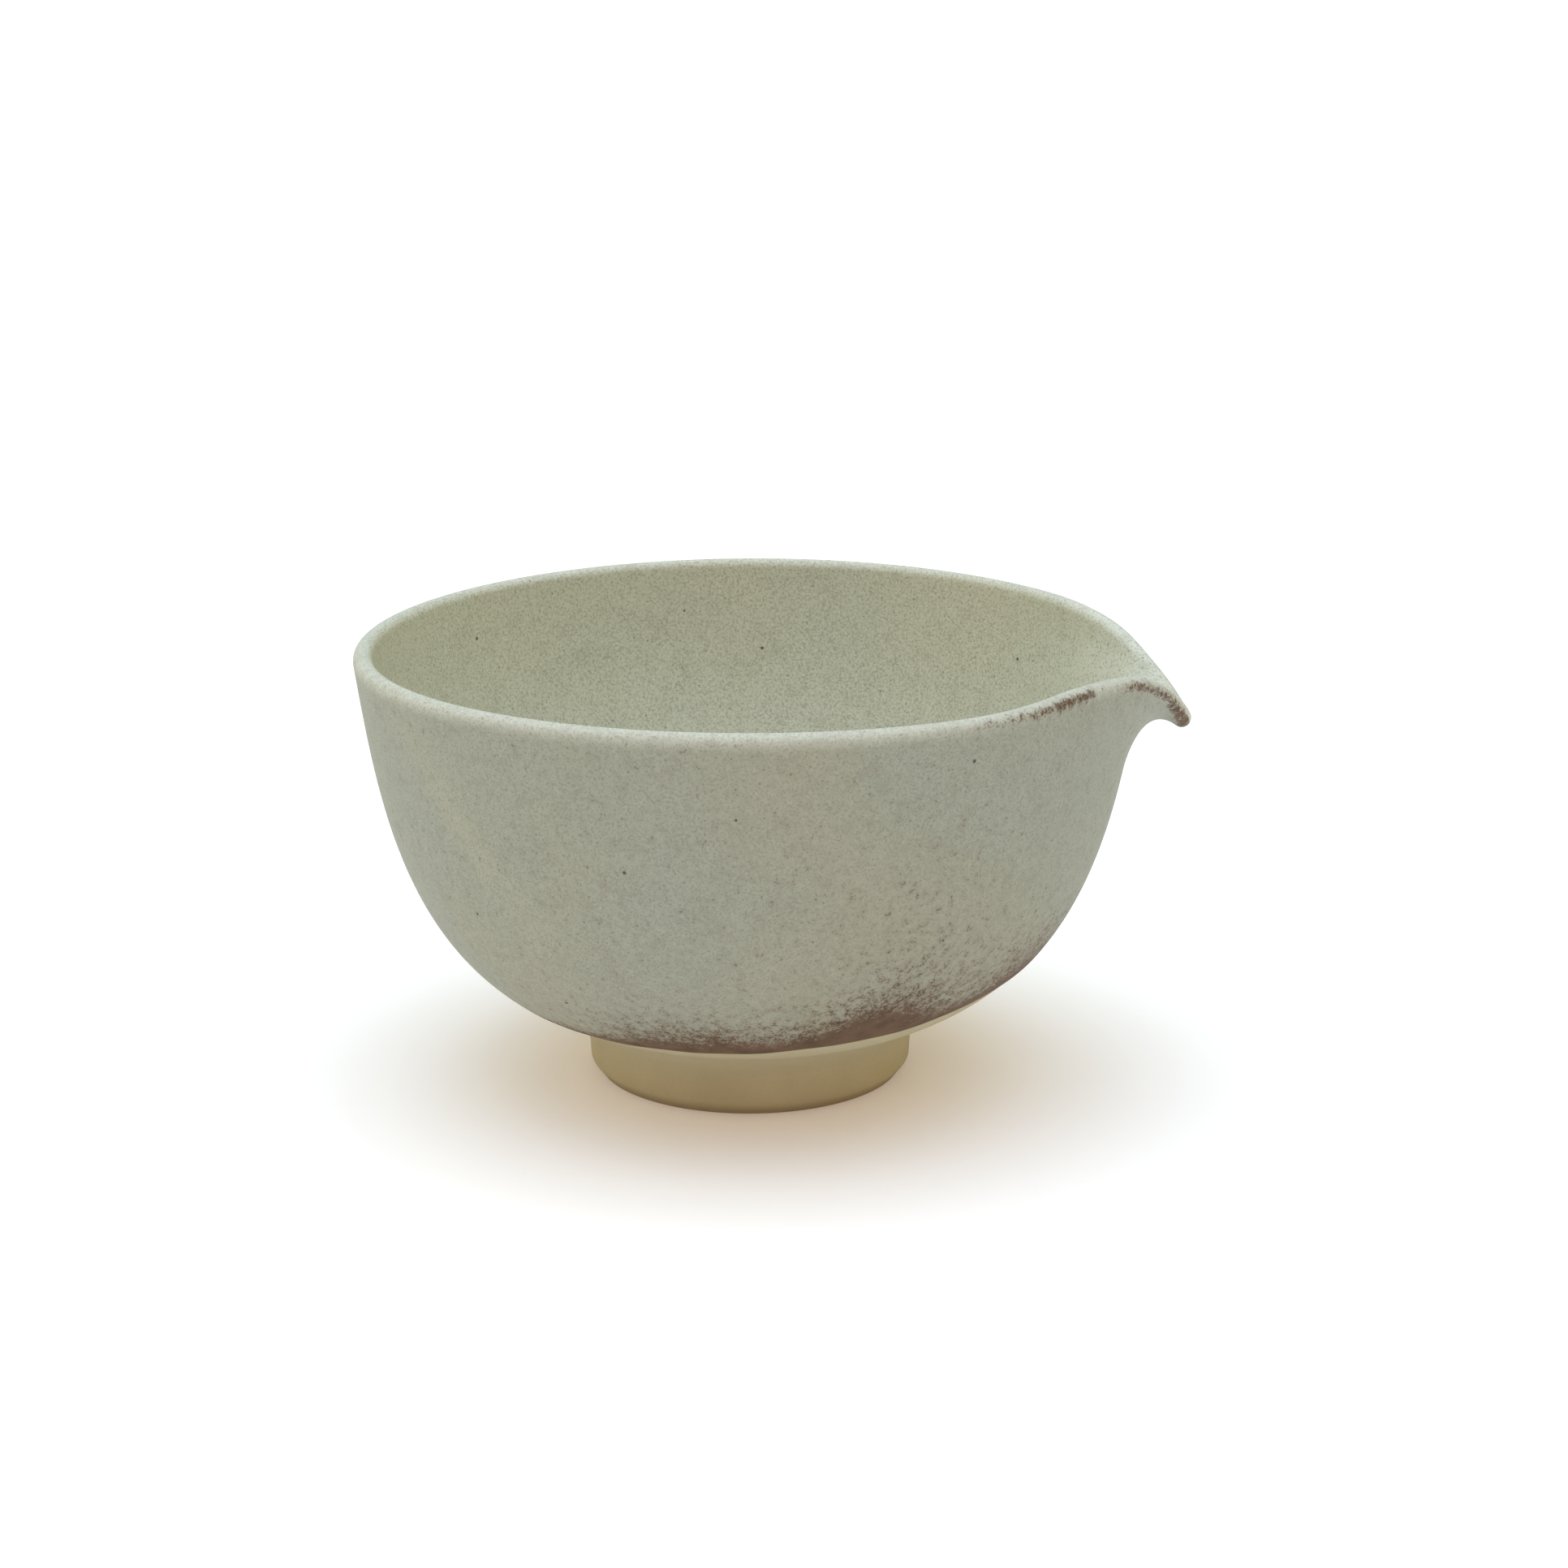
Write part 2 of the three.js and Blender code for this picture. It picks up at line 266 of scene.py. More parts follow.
def add_camera():
    right = Vector((math.cos(CAMERA_TURN), math.sin(CAMERA_TURN), 0))
    level = Vector((-math.sin(CAMERA_TURN), math.cos(CAMERA_TURN), 0))
    ahead = level * math.cos(CAMERA_ELEVATION) - Vector((0, 0, math.sin(CAMERA_ELEVATION)))
    aim = Vector((AXIS_X, 0, AIM_HEIGHT)) + right * AIM_ASIDE
    bpy.ops.object.camera_add(location=aim - ahead * CAMERA_DISTANCE)
    camera = bpy.context.object
    camera.rotation_euler = ahead.to_track_quat("-Z", "Y").to_euler()
    camera.data.lens = CAMERA_LENS_MM
    camera.data.sensor_width = CAMERA_SENSOR_MM
    camera.data.clip_end = FLOOR_SIZE
    bpy.context.scene.camera = camera


def add_floor():
    bpy.ops.mesh.primitive_plane_add(size=FLOOR_SIZE)
    floor = bpy.context.object
    floor.name = "studio_floor"
    paper, tree, shader = start_material("glowing_white_paper")
    shader.inputs["Base Color"].default_value = FLOOR_WHITE
    shader.inputs["Roughness"].default_value = FLOOR_ROUGHNESS
    # Painted light: the table glows, lifting and warming the shadow under the bowl
    shader.inputs["Emission Color"].default_value = FLOOR_GLOW
    shader.inputs["Emission Strength"].default_value = 1
    floor.data.materials.append(paper)


def add_room():
    """Light by direction: each lobe of the room shines along one axis and fades sideways."""
    room = bpy.data.worlds.new("studio_room")
    room.use_nodes = True
    tree = room.node_tree
    direction = add_node(tree, "ShaderNodeTexCoord").outputs["Generated"]
    axes = add_node(tree, "ShaderNodeSeparateXYZ", inputs={"Vector": direction}).outputs
    light = (0, 0, 0)
    for axis, sign, power, colour in ROOM_LOBES:
        facing = maths(tree, "MAXIMUM", maths(tree, "MULTIPLY", axes[axis], sign), 0)
        lobe = maths(tree, "POWER", facing, power)
        inputs = {0: lobe, 1: colour, 2: light}
        light = add_node(tree, "ShaderNodeVectorMath", {"operation": "MULTIPLY_ADD"}, inputs).outputs[0]
    tree.links.new(light, tree.nodes["Background"].inputs["Color"])
    bpy.context.scene.world = room
    bpy.context.scene.view_settings.view_transform = "Standard"


# Node helpers

def start_material(name):
    material = bpy.data.materials.new(name)
    material.use_nodes = True
    tree = material.node_tree
    return material, tree, tree.nodes["Principled BSDF"]


def add_node(tree, kind, settings=None, inputs=None):
    node = tree.nodes.new(kind)
    for key, value in (settings or {}).items():
        setattr(node, key, value)
    for key, value in (inputs or {}).items():
        if isinstance(value, bpy.types.NodeSocket):
            tree.links.new(value, node.inputs[key])
        else:
            node.inputs[key].default_value = value
    return node


def noise(tree, coords, size, detail=2.0, roughness=0.5):
    inputs = {"Vector": coords, "Scale": 1 / size, "Detail": detail, "Roughness": roughness}
    return add_node(tree, "ShaderNodeTexNoise", inputs=inputs).outputs["Fac"]


def map_range(tree, value, low, high, to_low=0.0, to_high=1.0, smooth=False):
    kind = "SMOOTHSTEP" if smooth else "LINEAR"
    inputs = {"Value": value, "From Min": low, "From Max": high, "To Min": to_low, "To Max": to_high}
    return add_node(tree, "ShaderNodeMapRange", {"interpolation_type": kind}, inputs).outputs["Result"]


def maths(tree, operation, first, second):
    return add_node(tree, "ShaderNodeMath", {"operation": operation}, {0: first, 1: second}).outputs[0]


def ramp(tree, factor, stops):
    node = add_node(tree, "ShaderNodeValToRGB", inputs={"Fac": factor})
    elements = node.color_ramp.elements
    while len(elements) < len(stops):
        elements.new(1)
    for element, (position, colour) in zip(elements, stops):
        element.position = position
        element.color = colour
    return node.outputs["Color"]


def mix(tree, factor, first, second, kind="MIX"):
    settings = {"data_type": "RGBA", "blend_type": kind}
    return add_node(tree, "ShaderNodeMix", settings, {0: factor, 6: first, 7: second}).outputs[2]


def attribute(tree, name):
    return add_node(tree, "ShaderNodeAttribute", {"attribute_name": name}).outputs["Fac"]


def specks(tree, coords, cell, radius, share):
    """Round spots of up to a radius, in a share of the cells of a loose grid: 1 inside a spot."""
    inputs = {"Vector": coords, "Scale": 1 / cell}
    cells = add_node(tree, "ShaderNodeTexVoronoi", inputs=inputs)
    lot = add_node(tree, "ShaderNodeSeparateColor", inputs={"Color": cells.outputs["Color"]}).outputs[0]
    size = map_range(tree, lot, 1 - share, 1, 0, radius / cell)
    gap = maths(tree, "SUBTRACT", size, cells.outputs["Distance"])
    return map_range(tree, gap, 0, SPECK_SOFTNESS * radius / cell)


def iron_specks(tree, coords, tone, kind):
    cell, radius, share, weight = kind
    spots = specks(tree, coords, cell, radius, share)
    return mix(tree, maths(tree, "MULTIPLY", spots, weight), tone, IRON_BROWN)


# The bowl's form

def bezier(start, leave, arrive, end):
    along = np.linspace(0, 1, LINE_SAMPLES)[:, None]
    back = 1 - along
    return (back**3 * start + 3 * back**2 * along * leave
            + 3 * back * along**2 * arrive + along**3 * end)


def bowl_line():
    """The plain round bowl's outer line: distances from the rim, radii and heights, axis first."""
    rim_height = BOWL_HEIGHT - RIM_THICKNESS / 2 * (1 + math.sin(RIM_LEAN))
    middle = np.array([0, FOOT_RECESS])
    junction = np.array([FOOT_RADIUS + FOOT_SEAT_SHIFT, FOOT_HEIGHT])
    rim = np.array([RIM_RADIUS, rim_height])
    slope = np.array([math.cos(UNDERSIDE_SLOPE), math.sin(UNDERSIDE_SLOPE)])
    lean = np.array([math.sin(RIM_LEAN), math.cos(RIM_LEAN)])
    level = np.array([RECESS_PULL, 0])
    under = bezier(middle, middle + level, junction - slope * FOOT_SEAT_PULL, junction)
    wall = bezier(junction, junction + slope * UNDERSIDE_PULL, rim - lean * UPPER_WALL_PULL, rim)
    points = np.concatenate([under, wall[1:]])
    steps = np.hypot(*np.diff(points, axis=0).T)
    travelled = np.concatenate([[0], np.cumsum(steps)])
    return travelled[-1] - travelled, points[:, 0], points[:, 1]


LINE_DISTANCE, LINE_RADIUS, LINE_HEIGHT = bowl_line()
LINE_LENGTH = LINE_DISTANCE[0]


def line_at(distance):
    radius = np.interp(-distance, -LINE_DISTANCE, LINE_RADIUS)
    height = np.interp(-distance, -LINE_DISTANCE, LINE_HEIGHT)
    return radius, height


def from_lip(turn):
    return np.arctan2(np.sin(turn), np.cos(turn))


def lip_pull(turn, middle, fade):
    return np.cosh(from_lip(turn - middle) / fade) ** -FADE_POWER


def bell(offset, spread):
    return np.exp(-(offset / spread) ** 2)


def outer_face(turn, distance):
    """Points of the glazed outer face, with the lip and its shoulders worked in."""
    radius, height = line_at(distance)
    share = np.clip(1 - distance / LIP_LENGTH, 0, 1)
    shoulder = bell(np.abs(from_lip(turn)) - SHOULDER_ANGLE, SHOULDER_SPREAD) * share**2
    radius = radius + LIP_REACH * lip_pull(turn, 0, REACH_FADE) * share**REACH_POWER
    radius = radius - SHOULDER_PINCH * shoulder
    held = bell(np.abs(from_lip(turn)) - HOLLOW_ANGLE, HOLLOW_SPREAD)
    radius = radius - HOLLOW_DEPTH * held * bell(distance - HOLLOW_PLACE, HOLLOW_LENGTH)
    height = height - LIP_DROP * lip_pull(turn, DROP_TURN, DROP_FADE) * share**DROP_POWER
    height = height + SHOULDER_RISE * shoulder - RIM_WAVE * np.cos(2 * turn) * share**2
    return np.stack([radius * np.cos(turn), radius * np.sin(turn), height], axis=-1)


def unit(vectors):
    return vectors / np.maximum(np.linalg.norm(vectors, axis=-1, keepdims=True), SMALL_LENGTH)


def face_frame(turn, distance):
    """Place, outward normal and direction to the rim on the outer face."""
    ahead = outer_face(turn, np.maximum(distance - SMALL_STEP, 0))
    behind = outer_face(turn, np.minimum(distance + SMALL_STEP, LINE_LENGTH))
    around = unit(outer_face(turn + SMALL_TURN, distance) - outer_face(turn - SMALL_TURN, distance))
    level = np.stack([-np.sin(turn), np.cos(turn), np.zeros_like(turn)], axis=-1)
    around = np.where((distance > LINE_LENGTH - SMALL_STEP)[..., None], level, around)
    normal = unit(np.cross(around, ahead - behind))
    return outer_face(turn, distance), normal, np.cross(normal, around)


def on_wall(turn, distance, over, depth):
    """Points at a depth under the wall's face, turned over the rim by an angle; half a turn is inside."""
    place, normal, along = face_frame(turn, distance)
    half = (RIM_THICKNESS + (FLOOR_THICKNESS - RIM_THICKNESS) * distance / LINE_LENGTH) / 2
    outward = (half - depth) * np.cos(over) - half
    upward = (half - depth) * np.sin(over)
    return place + normal * outward[..., None] + along * upward[..., None]


def glaze_edge(turn):
    """Distance from the rim down to the lower edge of the outside coat."""
    climb = GLAZE_LINE_CLIMB * bell(from_lip(turn), GLAZE_LINE_SPREAD)
    sway = sum(weight * np.sin(count * turn + start) for count, weight, start in GLAZE_LINE_WAVES)
    height = GLAZE_LINE_HEIGHT + climb + GLAZE_LINE_SWAY * sway
    return np.interp(height, LINE_HEIGHT[LINE_SAMPLES:], LINE_DISTANCE[LINE_SAMPLES:])


def whole_line(turn):
    return np.full_like(turn, LINE_LENGTH)


# Sections: rows of share of the way down, run back up, angle over the rim, and depth under the face

def rows(share, run, over, depth):
    return np.stack(np.broadcast_arrays(share, run, over, depth), axis=-1).astype(float)


def down_the_wall(steps):
    return np.linspace(0, 1, steps + 1) ** WALL_CROWDING


def over_the_rim():
    """Angles from the outer side to the crest; the last step is short, so that both coats meet evenly."""
    angles = np.linspace(0, math.pi / 2, RIM_STEPS)
    return np.insert(angles, -1, angles[-1] - CREST_STEP)


def outer_coat_section():
    bead = np.linspace(0, math.pi / 2, BEAD_STEPS)
    rim = over_the_rim()
    wall = down_the_wall(OUTER_WALL_STEPS)[::-1]
    hidden = down_the_wall(OUTER_HIDDEN_STEPS)
    return np.concatenate([
        rows(1, GLAZE_BEAD * (1 - np.cos(bead)), 0, GLAZE_THICKNESS * (1 - np.sin(bead))),
        rows(wall[1:-1], GLAZE_BEAD * wall[1:-1], 0, 0),
        rows(0, 0, rim, 0),
        rows(0, 0, rim[::-HIDDEN_RIM_STRIDE], GLAZE_THICKNESS),
        rows(hidden[1:-1], 0, 0, GLAZE_THICKNESS),
    ])


def inner_coat_section():
    rim = math.pi - over_the_rim()
    wall = down_the_wall(INNER_WALL_STEPS)[::-1]
    hidden = down_the_wall(INNER_HIDDEN_STEPS)
    return np.concatenate([
        rows(wall[:-1], 0, math.pi, 0),
        rows(0, 0, rim, 0),
        rows(0, 0, rim[::-HIDDEN_RIM_STRIDE], GLAZE_THICKNESS),
        rows(hidden[1:], 0, math.pi, GLAZE_THICKNESS),
    ])


def clay_section():
    depth = GLAZE_THICKNESS - GLAZE_BEDDING
    rim = np.linspace(0, math.pi, CLAY_RIM_STEPS)
    wall = down_the_wall(INNER_WALL_STEPS)
    return np.concatenate([
        rows(wall[::-1][:-1], 0, 0, depth),
        rows(0, 0, rim, depth),
        rows(wall[1:], 0, math.pi, depth),
    ])


# Thrown pieces

def draw_section(name, points, closed):
    """A chain of edges through points of the upright plane, drawn by extruding one vertex."""
    bpy.ops.object.select_all(action="DESELECT")
    bpy.ops.mesh.primitive_plane_add(size=RIM_THICKNESS, location=(0, 0, 0))
    piece = bpy.context.object
    piece.name = name
    bpy.ops.object.mode_set(mode="EDIT")
    bpy.ops.mesh.select_all(action="SELECT")
    bpy.ops.mesh.merge(type="CENTER")
    bpy.ops.transform.translate(value=points[0])
    for step in np.diff(points, axis=0):
        bpy.ops.mesh.extrude_region_move(TRANSFORM_OT_translate={"value": step})
    bpy.ops.object.mode_set(mode="OBJECT")
    if closed:
        close_section(piece, points)
    return piece


def close_section(piece, points):
    order = match_points(vertex_places(piece), points)
    for vertex, at in zip(piece.data.vertices, order):
        vertex.select = bool(at in (0, len(points) - 1))
    bpy.ops.object.mode_set(mode="EDIT")
    bpy.ops.mesh.edge_face_add()
    bpy.ops.object.mode_set(mode="OBJECT")


def vertex_places(piece):
    places = np.zeros(len(piece.data.vertices) * 3)
    piece.data.vertices.foreach_get("co", places)
    return places.reshape(-1, 3)


def match_points(places, points):
    gaps = np.linalg.norm(places[:, None] - points[None], axis=2)
    return gaps.argmin(axis=1)


def sweep(piece):
    """Turns a section once round the upright axis."""
    turn = piece.modifiers.new("wheel", "SCREW")
    turn.steps = TURN_STEPS
    turn.render_steps = TURN_STEPS
    turn.use_merge_vertices = True
    turn.merge_threshold = MERGE_DISTANCE
    bpy.context.view_layer.objects.active = piece
    bpy.ops.object.modifier_apply(modifier=turn.name)


def tidy_mesh(piece):
    bpy.ops.object.select_all(action="DESELECT")
    piece.select_set(True)
    bpy.context.view_layer.objects.active = piece
    bpy.ops.object.mode_set(mode="EDIT")
    bpy.ops.mesh.select_all(action="SELECT")
    bpy.ops.mesh.remove_doubles(threshold=MERGE_DISTANCE)
    bpy.ops.mesh.normals_make_consistent(inside=False)
    bpy.ops.object.mode_set(mode="OBJECT")
    bpy.ops.object.shade_smooth_by_angle(angle=SMOOTH_ANGLE)


def set_attribute(piece, name, values):
    layer = piece.data.attributes.new(name, "FLOAT", "POINT")
    layer.data.foreach_set("value", np.ascontiguousarray(values, dtype=np.float32))


def throw(name, section, lower_edge, closed=False):
    """A piece thrown from its section, with the lip pulled, and each vertex's place on the wall."""
    back = np.full(len(section), math.pi)
    share, run, over, depth = section.T
    drawn = on_wall(back, share * lower_edge(back) - run, over, depth)
    piece = draw_section(name, drawn, closed)
    set_attribute(piece, "row", match_points(vertex_places(piece), drawn))
    sweep(piece)
    row = np.zeros(len(piece.data.vertices), dtype=np.float32)
    piece.data.attributes["row"].data.foreach_get("value", row)
    share, run, over, depth = section[row.round().astype(int)].T
    places = vertex_places(piece)
    turn = np.arctan2(places[:, 1], places[:, 0])
    turn = turn - LIP_CROWDING * np.sin(turn)
    distance = share * lower_edge(turn) - run
    shaped = on_wall(turn, distance, over, depth) + np.array([AXIS_X, 0, 0])
    piece.data.vertices.foreach_set("co", shaped.ravel())
    piece.data.attributes.remove(piece.data.attributes["row"])
    return piece, turn, distance, over


def pull_lip(clay):
    """Cuts the lip's stretch of the thrown clay off as a piece of its own, with a slip joint between."""
    lip = clay.copy()
    lip.data = clay.data.copy()
    lip.name = "clay_lip"
    bpy.context.collection.objects.link(lip)
    cut_with_block(clay, "DIFFERENCE", JOINT_GAP / 2)
    cut_with_block(lip, "INTERSECT", -JOINT_GAP / 2)
    return lip


def cut_with_block(piece, operation, margin):
    bottom = BOWL_HEIGHT - LIP_LENGTH - margin
    width = NOTCH_WIDTH + 2 * margin
    bpy.ops.object.select_all(action="DESELECT")
    middle = (AXIS_X + RIM_RADIUS, 0, bottom + BOWL_HEIGHT / 2)
    bpy.ops.mesh.primitive_cube_add(size=1, location=middle)
    block = bpy.context.object
    block.dimensions = (2 * NOTCH_WIDTH, width, BOWL_HEIGHT)
    cut = piece.modifiers.new("notch", "BOOLEAN")
    cut.operation = operation
    cut.object = block
    bpy.context.view_layer.objects.active = piece
    bpy.ops.object.modifier_apply(modifier=cut.name)
    bpy.data.objects.remove(block)


# Foot ring

def arc(middle, radius, start, end, steps):
    angles = np.linspace(start, end, steps)
    return np.array(middle) + radius * np.stack([np.cos(angles), np.sin(angles)], axis=1)


def chamfer():
    """The slanted outer edge of the rest face, rounded where it meets the wall."""
    outer = FOOT_RADIUS - FOOT_TAPER
    slant = math.atan2(FOOT_EDGE_HEIGHT, outer - REST_RADIUS)
    upper = FOOT_EDGE_ROUND * math.tan((math.pi / 2 - slant) / 2)
    middle = (outer - FOOT_EDGE_ROUND, FOOT_EDGE_HEIGHT + upper)
    rounding = arc(middle, FOOT_EDGE_ROUND, slant - math.pi / 2, 0, FOOT_EDGE_STEPS)
    return np.concatenate([[(REST_RADIUS, 0)], rounding])


def foot_section():
    """Half of the ring's section, from its inner seat round the rest face up to the fillet."""
    back = np.full(LINE_SAMPLES, math.pi)
    distance = np.linspace(LINE_LENGTH, 0, LINE_SAMPLES)
    under = on_wall(back, distance, 0 * back, np.full_like(back, GLAZE_THICKNESS - GLAZE_BEDDING))
    edge_middle = (FOOT_INNER_RADIUS + FOOT_DRAFT + FOOT_INNER_EDGE, FOOT_INNER_EDGE)
    fillet_end = FOOT_RADIUS + FOOT_FILLET * (1 - math.sin(UNDERSIDE_SLOPE))
    tuck = fillet_end + FOOT_FILLET / 2
    seat_radius = np.linspace(tuck, FOOT_INNER_RADIUS, FOOT_SEAT_STEPS)
    seat_height = np.interp([fillet_end, *seat_radius], -under[:, 0], under[:, 2])
    fillet_middle = (FOOT_RADIUS + FOOT_FILLET, seat_height[0] - FOOT_FILLET * math.cos(UNDERSIDE_SLOPE))
    return np.concatenate([
        arc(edge_middle, FOOT_INNER_EDGE, math.pi, 1.5 * math.pi, FOOT_INNER_STEPS),
        chamfer(),
        arc(fillet_middle, FOOT_FILLET, math.pi, math.pi / 2 + UNDERSIDE_SLOPE, FOOT_FILLET_STEPS),
        np.stack([seat_radius, seat_height[1:] + FOOT_BEDDING], axis=1),
    ])


def turn_foot():
    radius, height = foot_section().T
    foot = draw_section("clay_foot", np.stack([-radius, 0 * radius, height], axis=1), closed=True)
    sweep(foot)
    shifted = vertex_places(foot) + np.array([AXIS_X, 0, 0])
    foot.data.vertices.foreach_set("co", shifted.ravel())
    return foot


# Where the glaze lies thin and breaks to rust

def step_up(value, low, high):
    share = np.clip((value - low) / (high - low), 0, 1)
    return share * share * (3 - 2 * share)


def foot_rust(turn, distance):
    """Rust above the lower edge of the coat, deepest at one place left of the lip."""
    above = glaze_edge(turn) - distance
    level = np.exp(-above / RUST_LINE_HEIGHT) + RUST_BAND_WEIGHT * bell(above, RUST_BAND_HEIGHT)
    for middle, spread, height, weight in (RUST_FRONT, RUST_PATCH, RUST_VEIL, RUST_LIP):
        level = level + weight * bell(from_lip(turn) - middle, spread) * bell(above, height)
    return level


def crest_distance(distance, over):
    return distance + np.abs(math.pi / 2 - over) * RIM_THICKNESS / 2


def rim_stretch(side, stretch):
    start, whole, fading, end, weight = stretch
    return weight * step_up(side, start, whole) * (1 - step_up(side, fading, end))


def rim_spot(side, spot):
    middle, spread, weight = spot
    return weight * bell(side - middle, spread)


def rim_rust(turn, from_crest):
    """Rust on the outer edge of the rim, beside the lip and at its tip."""
    side = np.degrees(from_lip(turn))
    tip = rim_spot(side, RIM_BREAK_TIP)
    stretches = rim_stretch(side, RIM_BREAK_NEAR) + rim_stretch(-side, RIM_BREAK_FAR)
    level = stretches + rim_spot(side, RIM_BREAK_CHEEK) + tip
    place = RIM_BREAK_PLACE + (RIM_BREAK_TIP_PLACE - RIM_BREAK_PLACE) * tip
    return level * bell(from_crest - place, RIM_BREAK_WIDTH * (1 + RIM_BREAK_TIP_WIDENING * tip))


def paleness(distance, over):
    """How much painted highlight the coat gets: whole at the crest of the rim, fading down both sides."""
    fade = np.where(over > math.pi / 2, CREST_HIGHLIGHT_SPREAD_INSIDE, CREST_HIGHLIGHT_SPREAD)
    return 1 - step_up(crest_distance(distance, over), fade / 4, fade)


def lip_paleness(turn, distance):
    """How pale the inside coat is on the far cheek of the lip."""
    cheek = bell(from_lip(turn) - PALE_LIP_TURN, PALE_LIP_SPREAD)
    return PALE_LIP_WEIGHT * cheek * bell(distance - PALE_LIP_PLACE, PALE_LIP_LENGTH)


# Materials

def object_coords(tree):
    return add_node(tree, "ShaderNodeTexCoord").outputs["Object"]


def finish_surface(tree, shader, colour, height, depth, roughness):
    bump = add_node(tree, "ShaderNodeBump", inputs={"Height": height, "Distance": depth})
    tree.links.new(colour, shader.inputs["Base Color"])
    tree.links.new(bump.outputs["Normal"], shader.inputs["Normal"])
    shader.inputs["Roughness"].default_value = roughness
    shader.inputs["Specular IOR Level"].default_value = SURFACE_GLOSS


def glaze_colour(tree, coords, grain, tone, pale, dusk, sand):
    """Breaks a tone of glaze up with soft clouds, a sandy grain and fine iron specks."""
    clouds = noise(tree, coords, CLOUD_SIZE, 3)
    tone = mix(tree, map_range(tree, clouds, GRAIN_MIDDLE, CLOUD_FULL, 0, CLOUD_WEIGHT), tone, dusk)
    tone = mix(tree, map_range(tree, grain, GRAIN_MIDDLE, GRAIN_HIGH, 0, sand), tone, pale)
    tone = mix(tree, map_range(tree, grain, GRAIN_MIDDLE, GRAIN_LOW, 0, sand), tone, dusk)
    for kind in FINE_SPECKS:
        tone = iron_specks(tree, coords, tone, kind)
    return tone


def drifting_tone(tree, coords, tones):
    return ramp(tree, noise(tree, coords, DRIFT_SIZE, 3), list(zip(DRIFT_STOPS, tones)))


def iron_spots(tree, coords, tone, spots, over):
    """Single larger spots of iron at given turns and heights of the wall."""
    for turn_degrees, below, radius in spots:
        turn = np.array([math.radians(turn_degrees)])
        distance = np.array([below])
        place = on_wall(turn, distance, np.array([over]), np.zeros(1))[0] + np.array([AXIS_X, 0, 0])
        gap = add_node(tree, "ShaderNodeVectorMath", {"operation": "DISTANCE"}, {0: coords, 1: place})
        inside = map_range(tree, gap.outputs["Value"], radius, radius / 2, 0, SPOT_WEIGHT)
        tone = mix(tree, inside, tone, IRON_BLACK)
    return tone


def inside_glaze():
    material, tree, shader = start_material("sage_glaze_inside_lit")
    coords = object_coords(tree)
    grain = noise(tree, coords, GRAIN_SIZE, 2)
    # Painted highlight along the crest of the rim
    tone = mix(tree, attribute(tree, "crest"), drifting_tone(tree, coords, INSIDE_SAGE_LIT), CREST_HIGHLIGHT_TONE)
    tone = mix(tree, attribute(tree, "lip"), tone, LIP_PALE)
    tone = glaze_colour(tree, coords, grain, tone, INSIDE_PALE_LIT, INSIDE_DUSK_LIT, INSIDE_SAND)
    tone = iron_spots(tree, coords, tone, INSIDE_SPOTS, math.pi)
    finish_surface(tree, shader, tone, grain, GRAIN_DEPTH, GLAZE_ROUGHNESS)
    return material


def outside_glaze():
    """As the inside at the crest of the rim, darker below it as painted shade, and rust where the coat
    lies thin.
    """
    material, tree, shader = start_material("sage_glaze_outside_shaded")
    coords = object_coords(tree)
    grain = noise(tree, coords, GRAIN_SIZE, 2)
    crest = attribute(tree, "crest")
    shaded_tone = mix(tree, attribute(tree, "streak"), drifting_tone(tree, coords, OUTSIDE_SAGE_SHADED), GLAZE_STREAK)
    # Painted highlight along the crest of the rim
    tone = mix(tree, crest, shaded_tone, CREST_HIGHLIGHT_TONE)
    # At the crest the outside takes the lit inside tones; below it the darker outside tones are painted
    # shade
    pale = mix(tree, crest, OUTSIDE_PALE_SHADED, INSIDE_PALE_LIT)
    dusk = mix(tree, crest, OUTSIDE_DUSK_SHADED, INSIDE_DUSK_LIT)
    tone = glaze_colour(tree, coords, grain, tone, pale, dusk, OUTSIDE_SAND)
    tone = iron_spots(tree, coords, tone, OUTSIDE_SPOTS, 0.0)
    granules = maths(tree, "MULTIPLY", maths(tree, "SUBTRACT", grain, GRAIN_MIDDLE), RUST_GRANULES)
    drift = maths(tree, "SUBTRACT", noise(tree, coords, RUST_CLOUD_SIZE, 2), GRAIN_MIDDLE)
    clouds = maths(tree, "MULTIPLY", drift, RUST_CLOUDS)
    level = maths(tree, "ADD", maths(tree, "ADD", granules, clouds), attribute(tree, "rust"))
    browns = list(zip(TONE_STOPS, (RUST_DARK, RUST_LIGHT)))
    rust_tone = ramp(tree, noise(tree, coords, RUST_TONE_SIZE, 3), browns)
    tone = mix(tree, map_range(tree, level, RUST_FROM, RUST_WHOLE, smooth=True), tone, rust_tone)
    finish_surface(tree, shader, tone, grain, GRAIN_DEPTH / 2, GLAZE_ROUGHNESS)
    return material


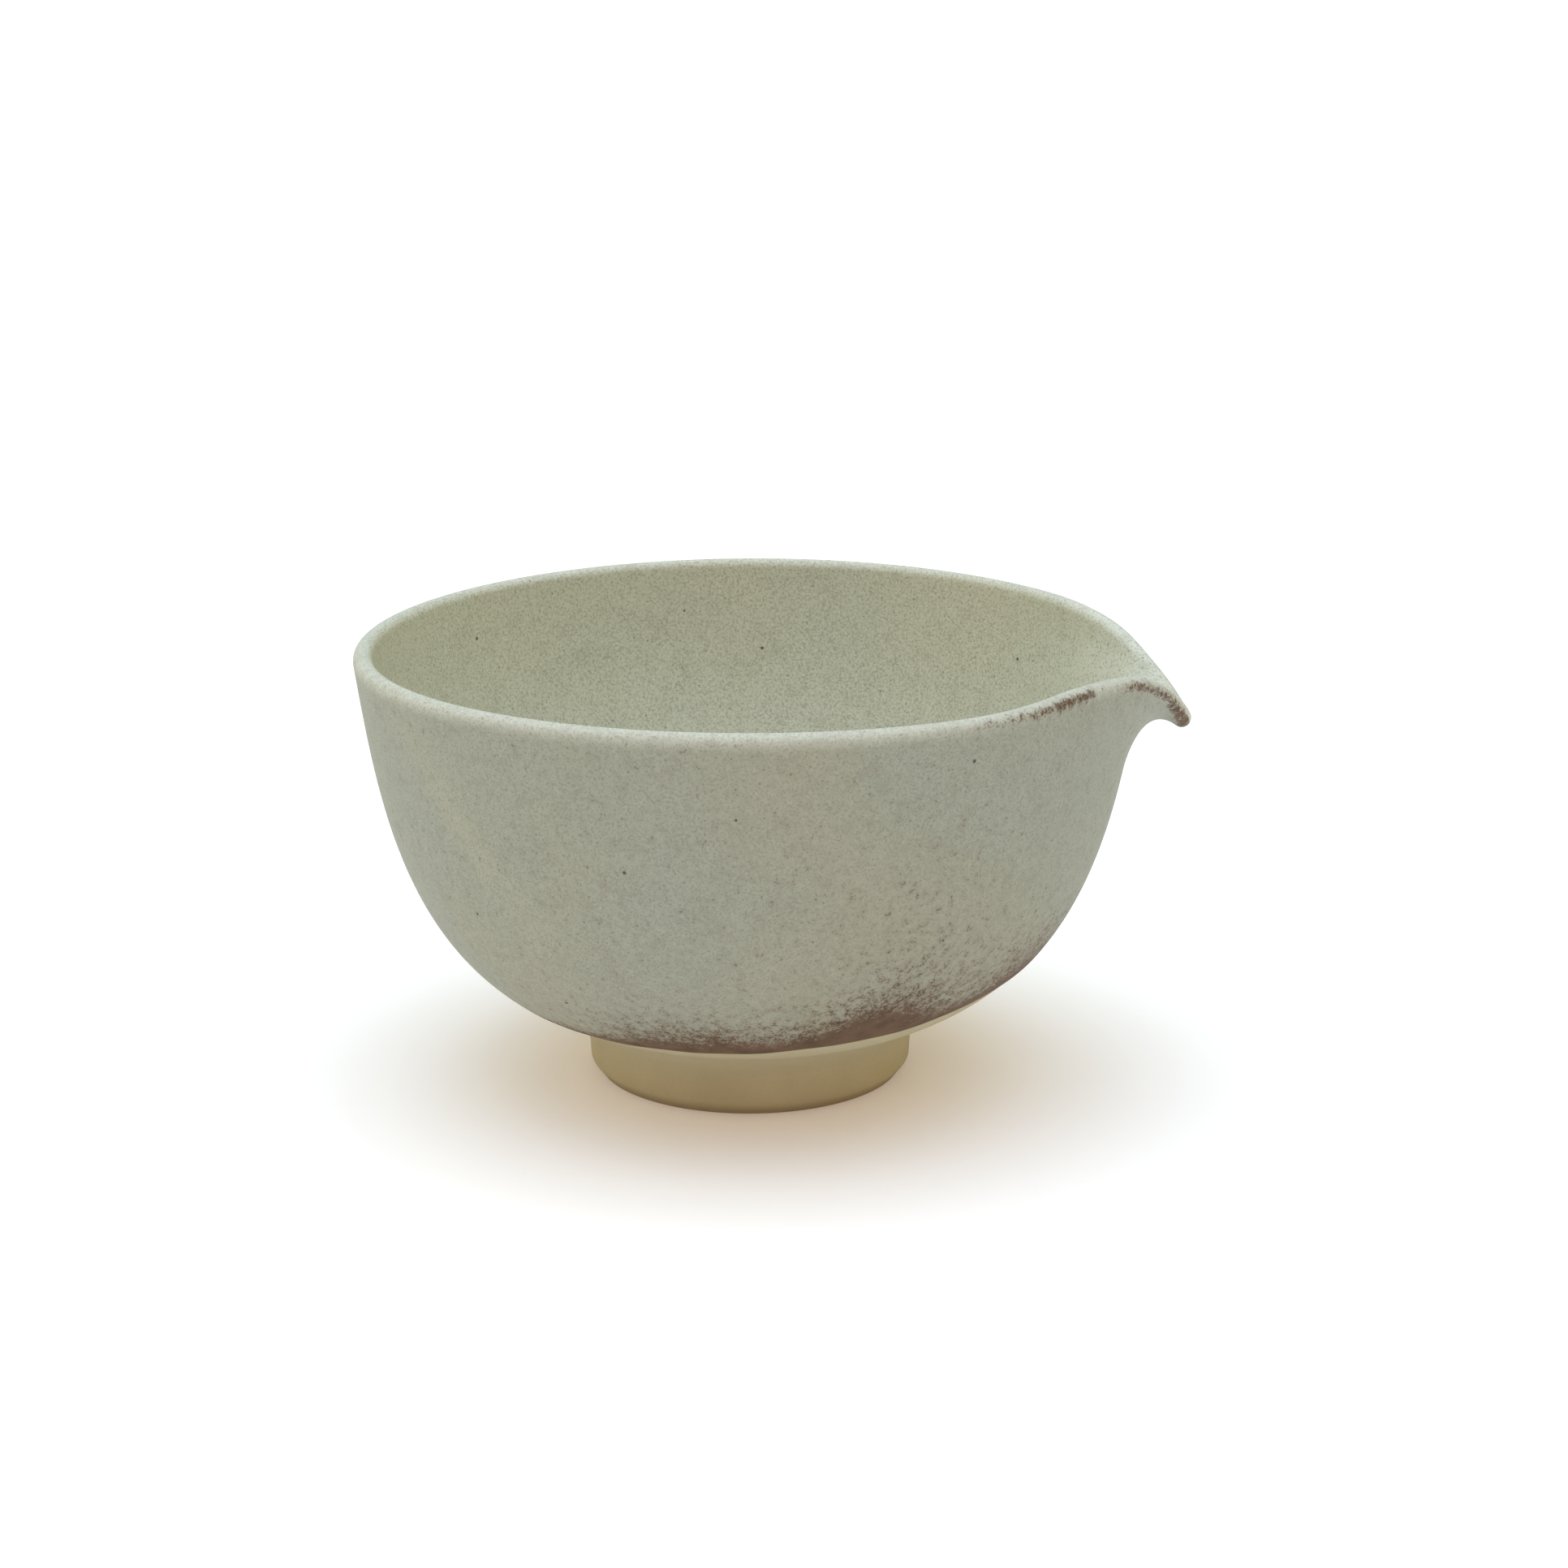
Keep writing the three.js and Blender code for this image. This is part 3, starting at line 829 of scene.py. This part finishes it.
def bare_clay():
    """Buff stoneware, paler from the top of the foot up, and darker towards the rest face as painted
    shade.
    """
    material, tree, shader = start_material("buff_stoneware")
    coords = object_coords(tree)
    grain = noise(tree, coords, CLAY_GRAIN_SIZE, 3)
    height = add_node(tree, "ShaderNodeSeparateXYZ", inputs={"Vector": coords}).outputs["Z"]
    buffs = list(zip(TONE_STOPS, (CLAY_DARK, CLAY_LIGHT)))
    tone = ramp(tree, noise(tree, coords, CLAY_TONE_SIZE, 4), buffs)
    tone = mix(tree, map_range(tree, height, CREAM_FROM, CREAM_FULL, smooth=True), tone, CLAY_CREAM)
    # Painted shade: darker towards the rest face, where the foot meets the table
    tone = mix(tree, map_range(tree, height, CONTACT_SHADE_HEIGHT, 0, smooth=True), tone, CLAY_CONTACT_SHADE)
    sand = map_range(tree, grain, CLAY_SAND_FROM, GRAIN_LOW, 0, CLAY_SAND_WEIGHT)
    tone = mix(tree, sand, tone, CLAY_SAND)
    tone = iron_specks(tree, coords, tone, CLAY_SPECKS)
    finish_surface(tree, shader, tone, grain, CLAY_GRAIN_DEPTH, CLAY_ROUGHNESS)
    return material


# Build

add_camera()
add_floor()
add_room()

outside, turn, distance, over = throw("glaze_outside", outer_coat_section(), glaze_edge, closed=True)
streak_line = STREAK_TURN + (distance - STREAK_MIDDLE) * STREAK_SLANT
streak = bell(from_lip(turn) - streak_line, STREAK_SPREAD) * bell(distance - STREAK_MIDDLE, STREAK_LENGTH)
rust = foot_rust(turn, distance) + rim_rust(turn, crest_distance(distance, over))
set_attribute(outside, "rust", rust)
# crest: how much painted highlight the coat gets at the rim
set_attribute(outside, "crest", paleness(distance, over))
set_attribute(outside, "streak", STREAK_WEIGHT * streak)
inside, turn, distance, over = throw("glaze_inside", inner_coat_section(), whole_line)
set_attribute(inside, "crest", paleness(distance, over))
set_attribute(inside, "lip", lip_paleness(turn, distance))
clay, turn, distance, over = throw("clay_wall", clay_section(), whole_line)
tidy_mesh(clay)
lip = pull_lip(clay)
foot = turn_foot()

clay_look = bare_clay()
parts = (
    (outside, "outer_glaze", "outer_glaze", outside_glaze()),
    (inside, "inner_glaze", "inner_glaze", inside_glaze()),
    (clay, "bowl_wall", "clay", clay_look),
    (lip, "pouring_lip", "clay", clay_look),
    (foot, "foot_ring", "clay", clay_look),
)
for piece, node, slot, look in parts:
    tidy_mesh(piece)
    piece.data.materials.clear()
    piece.data.materials.append(look)
    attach(piece, "root")
    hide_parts(node)
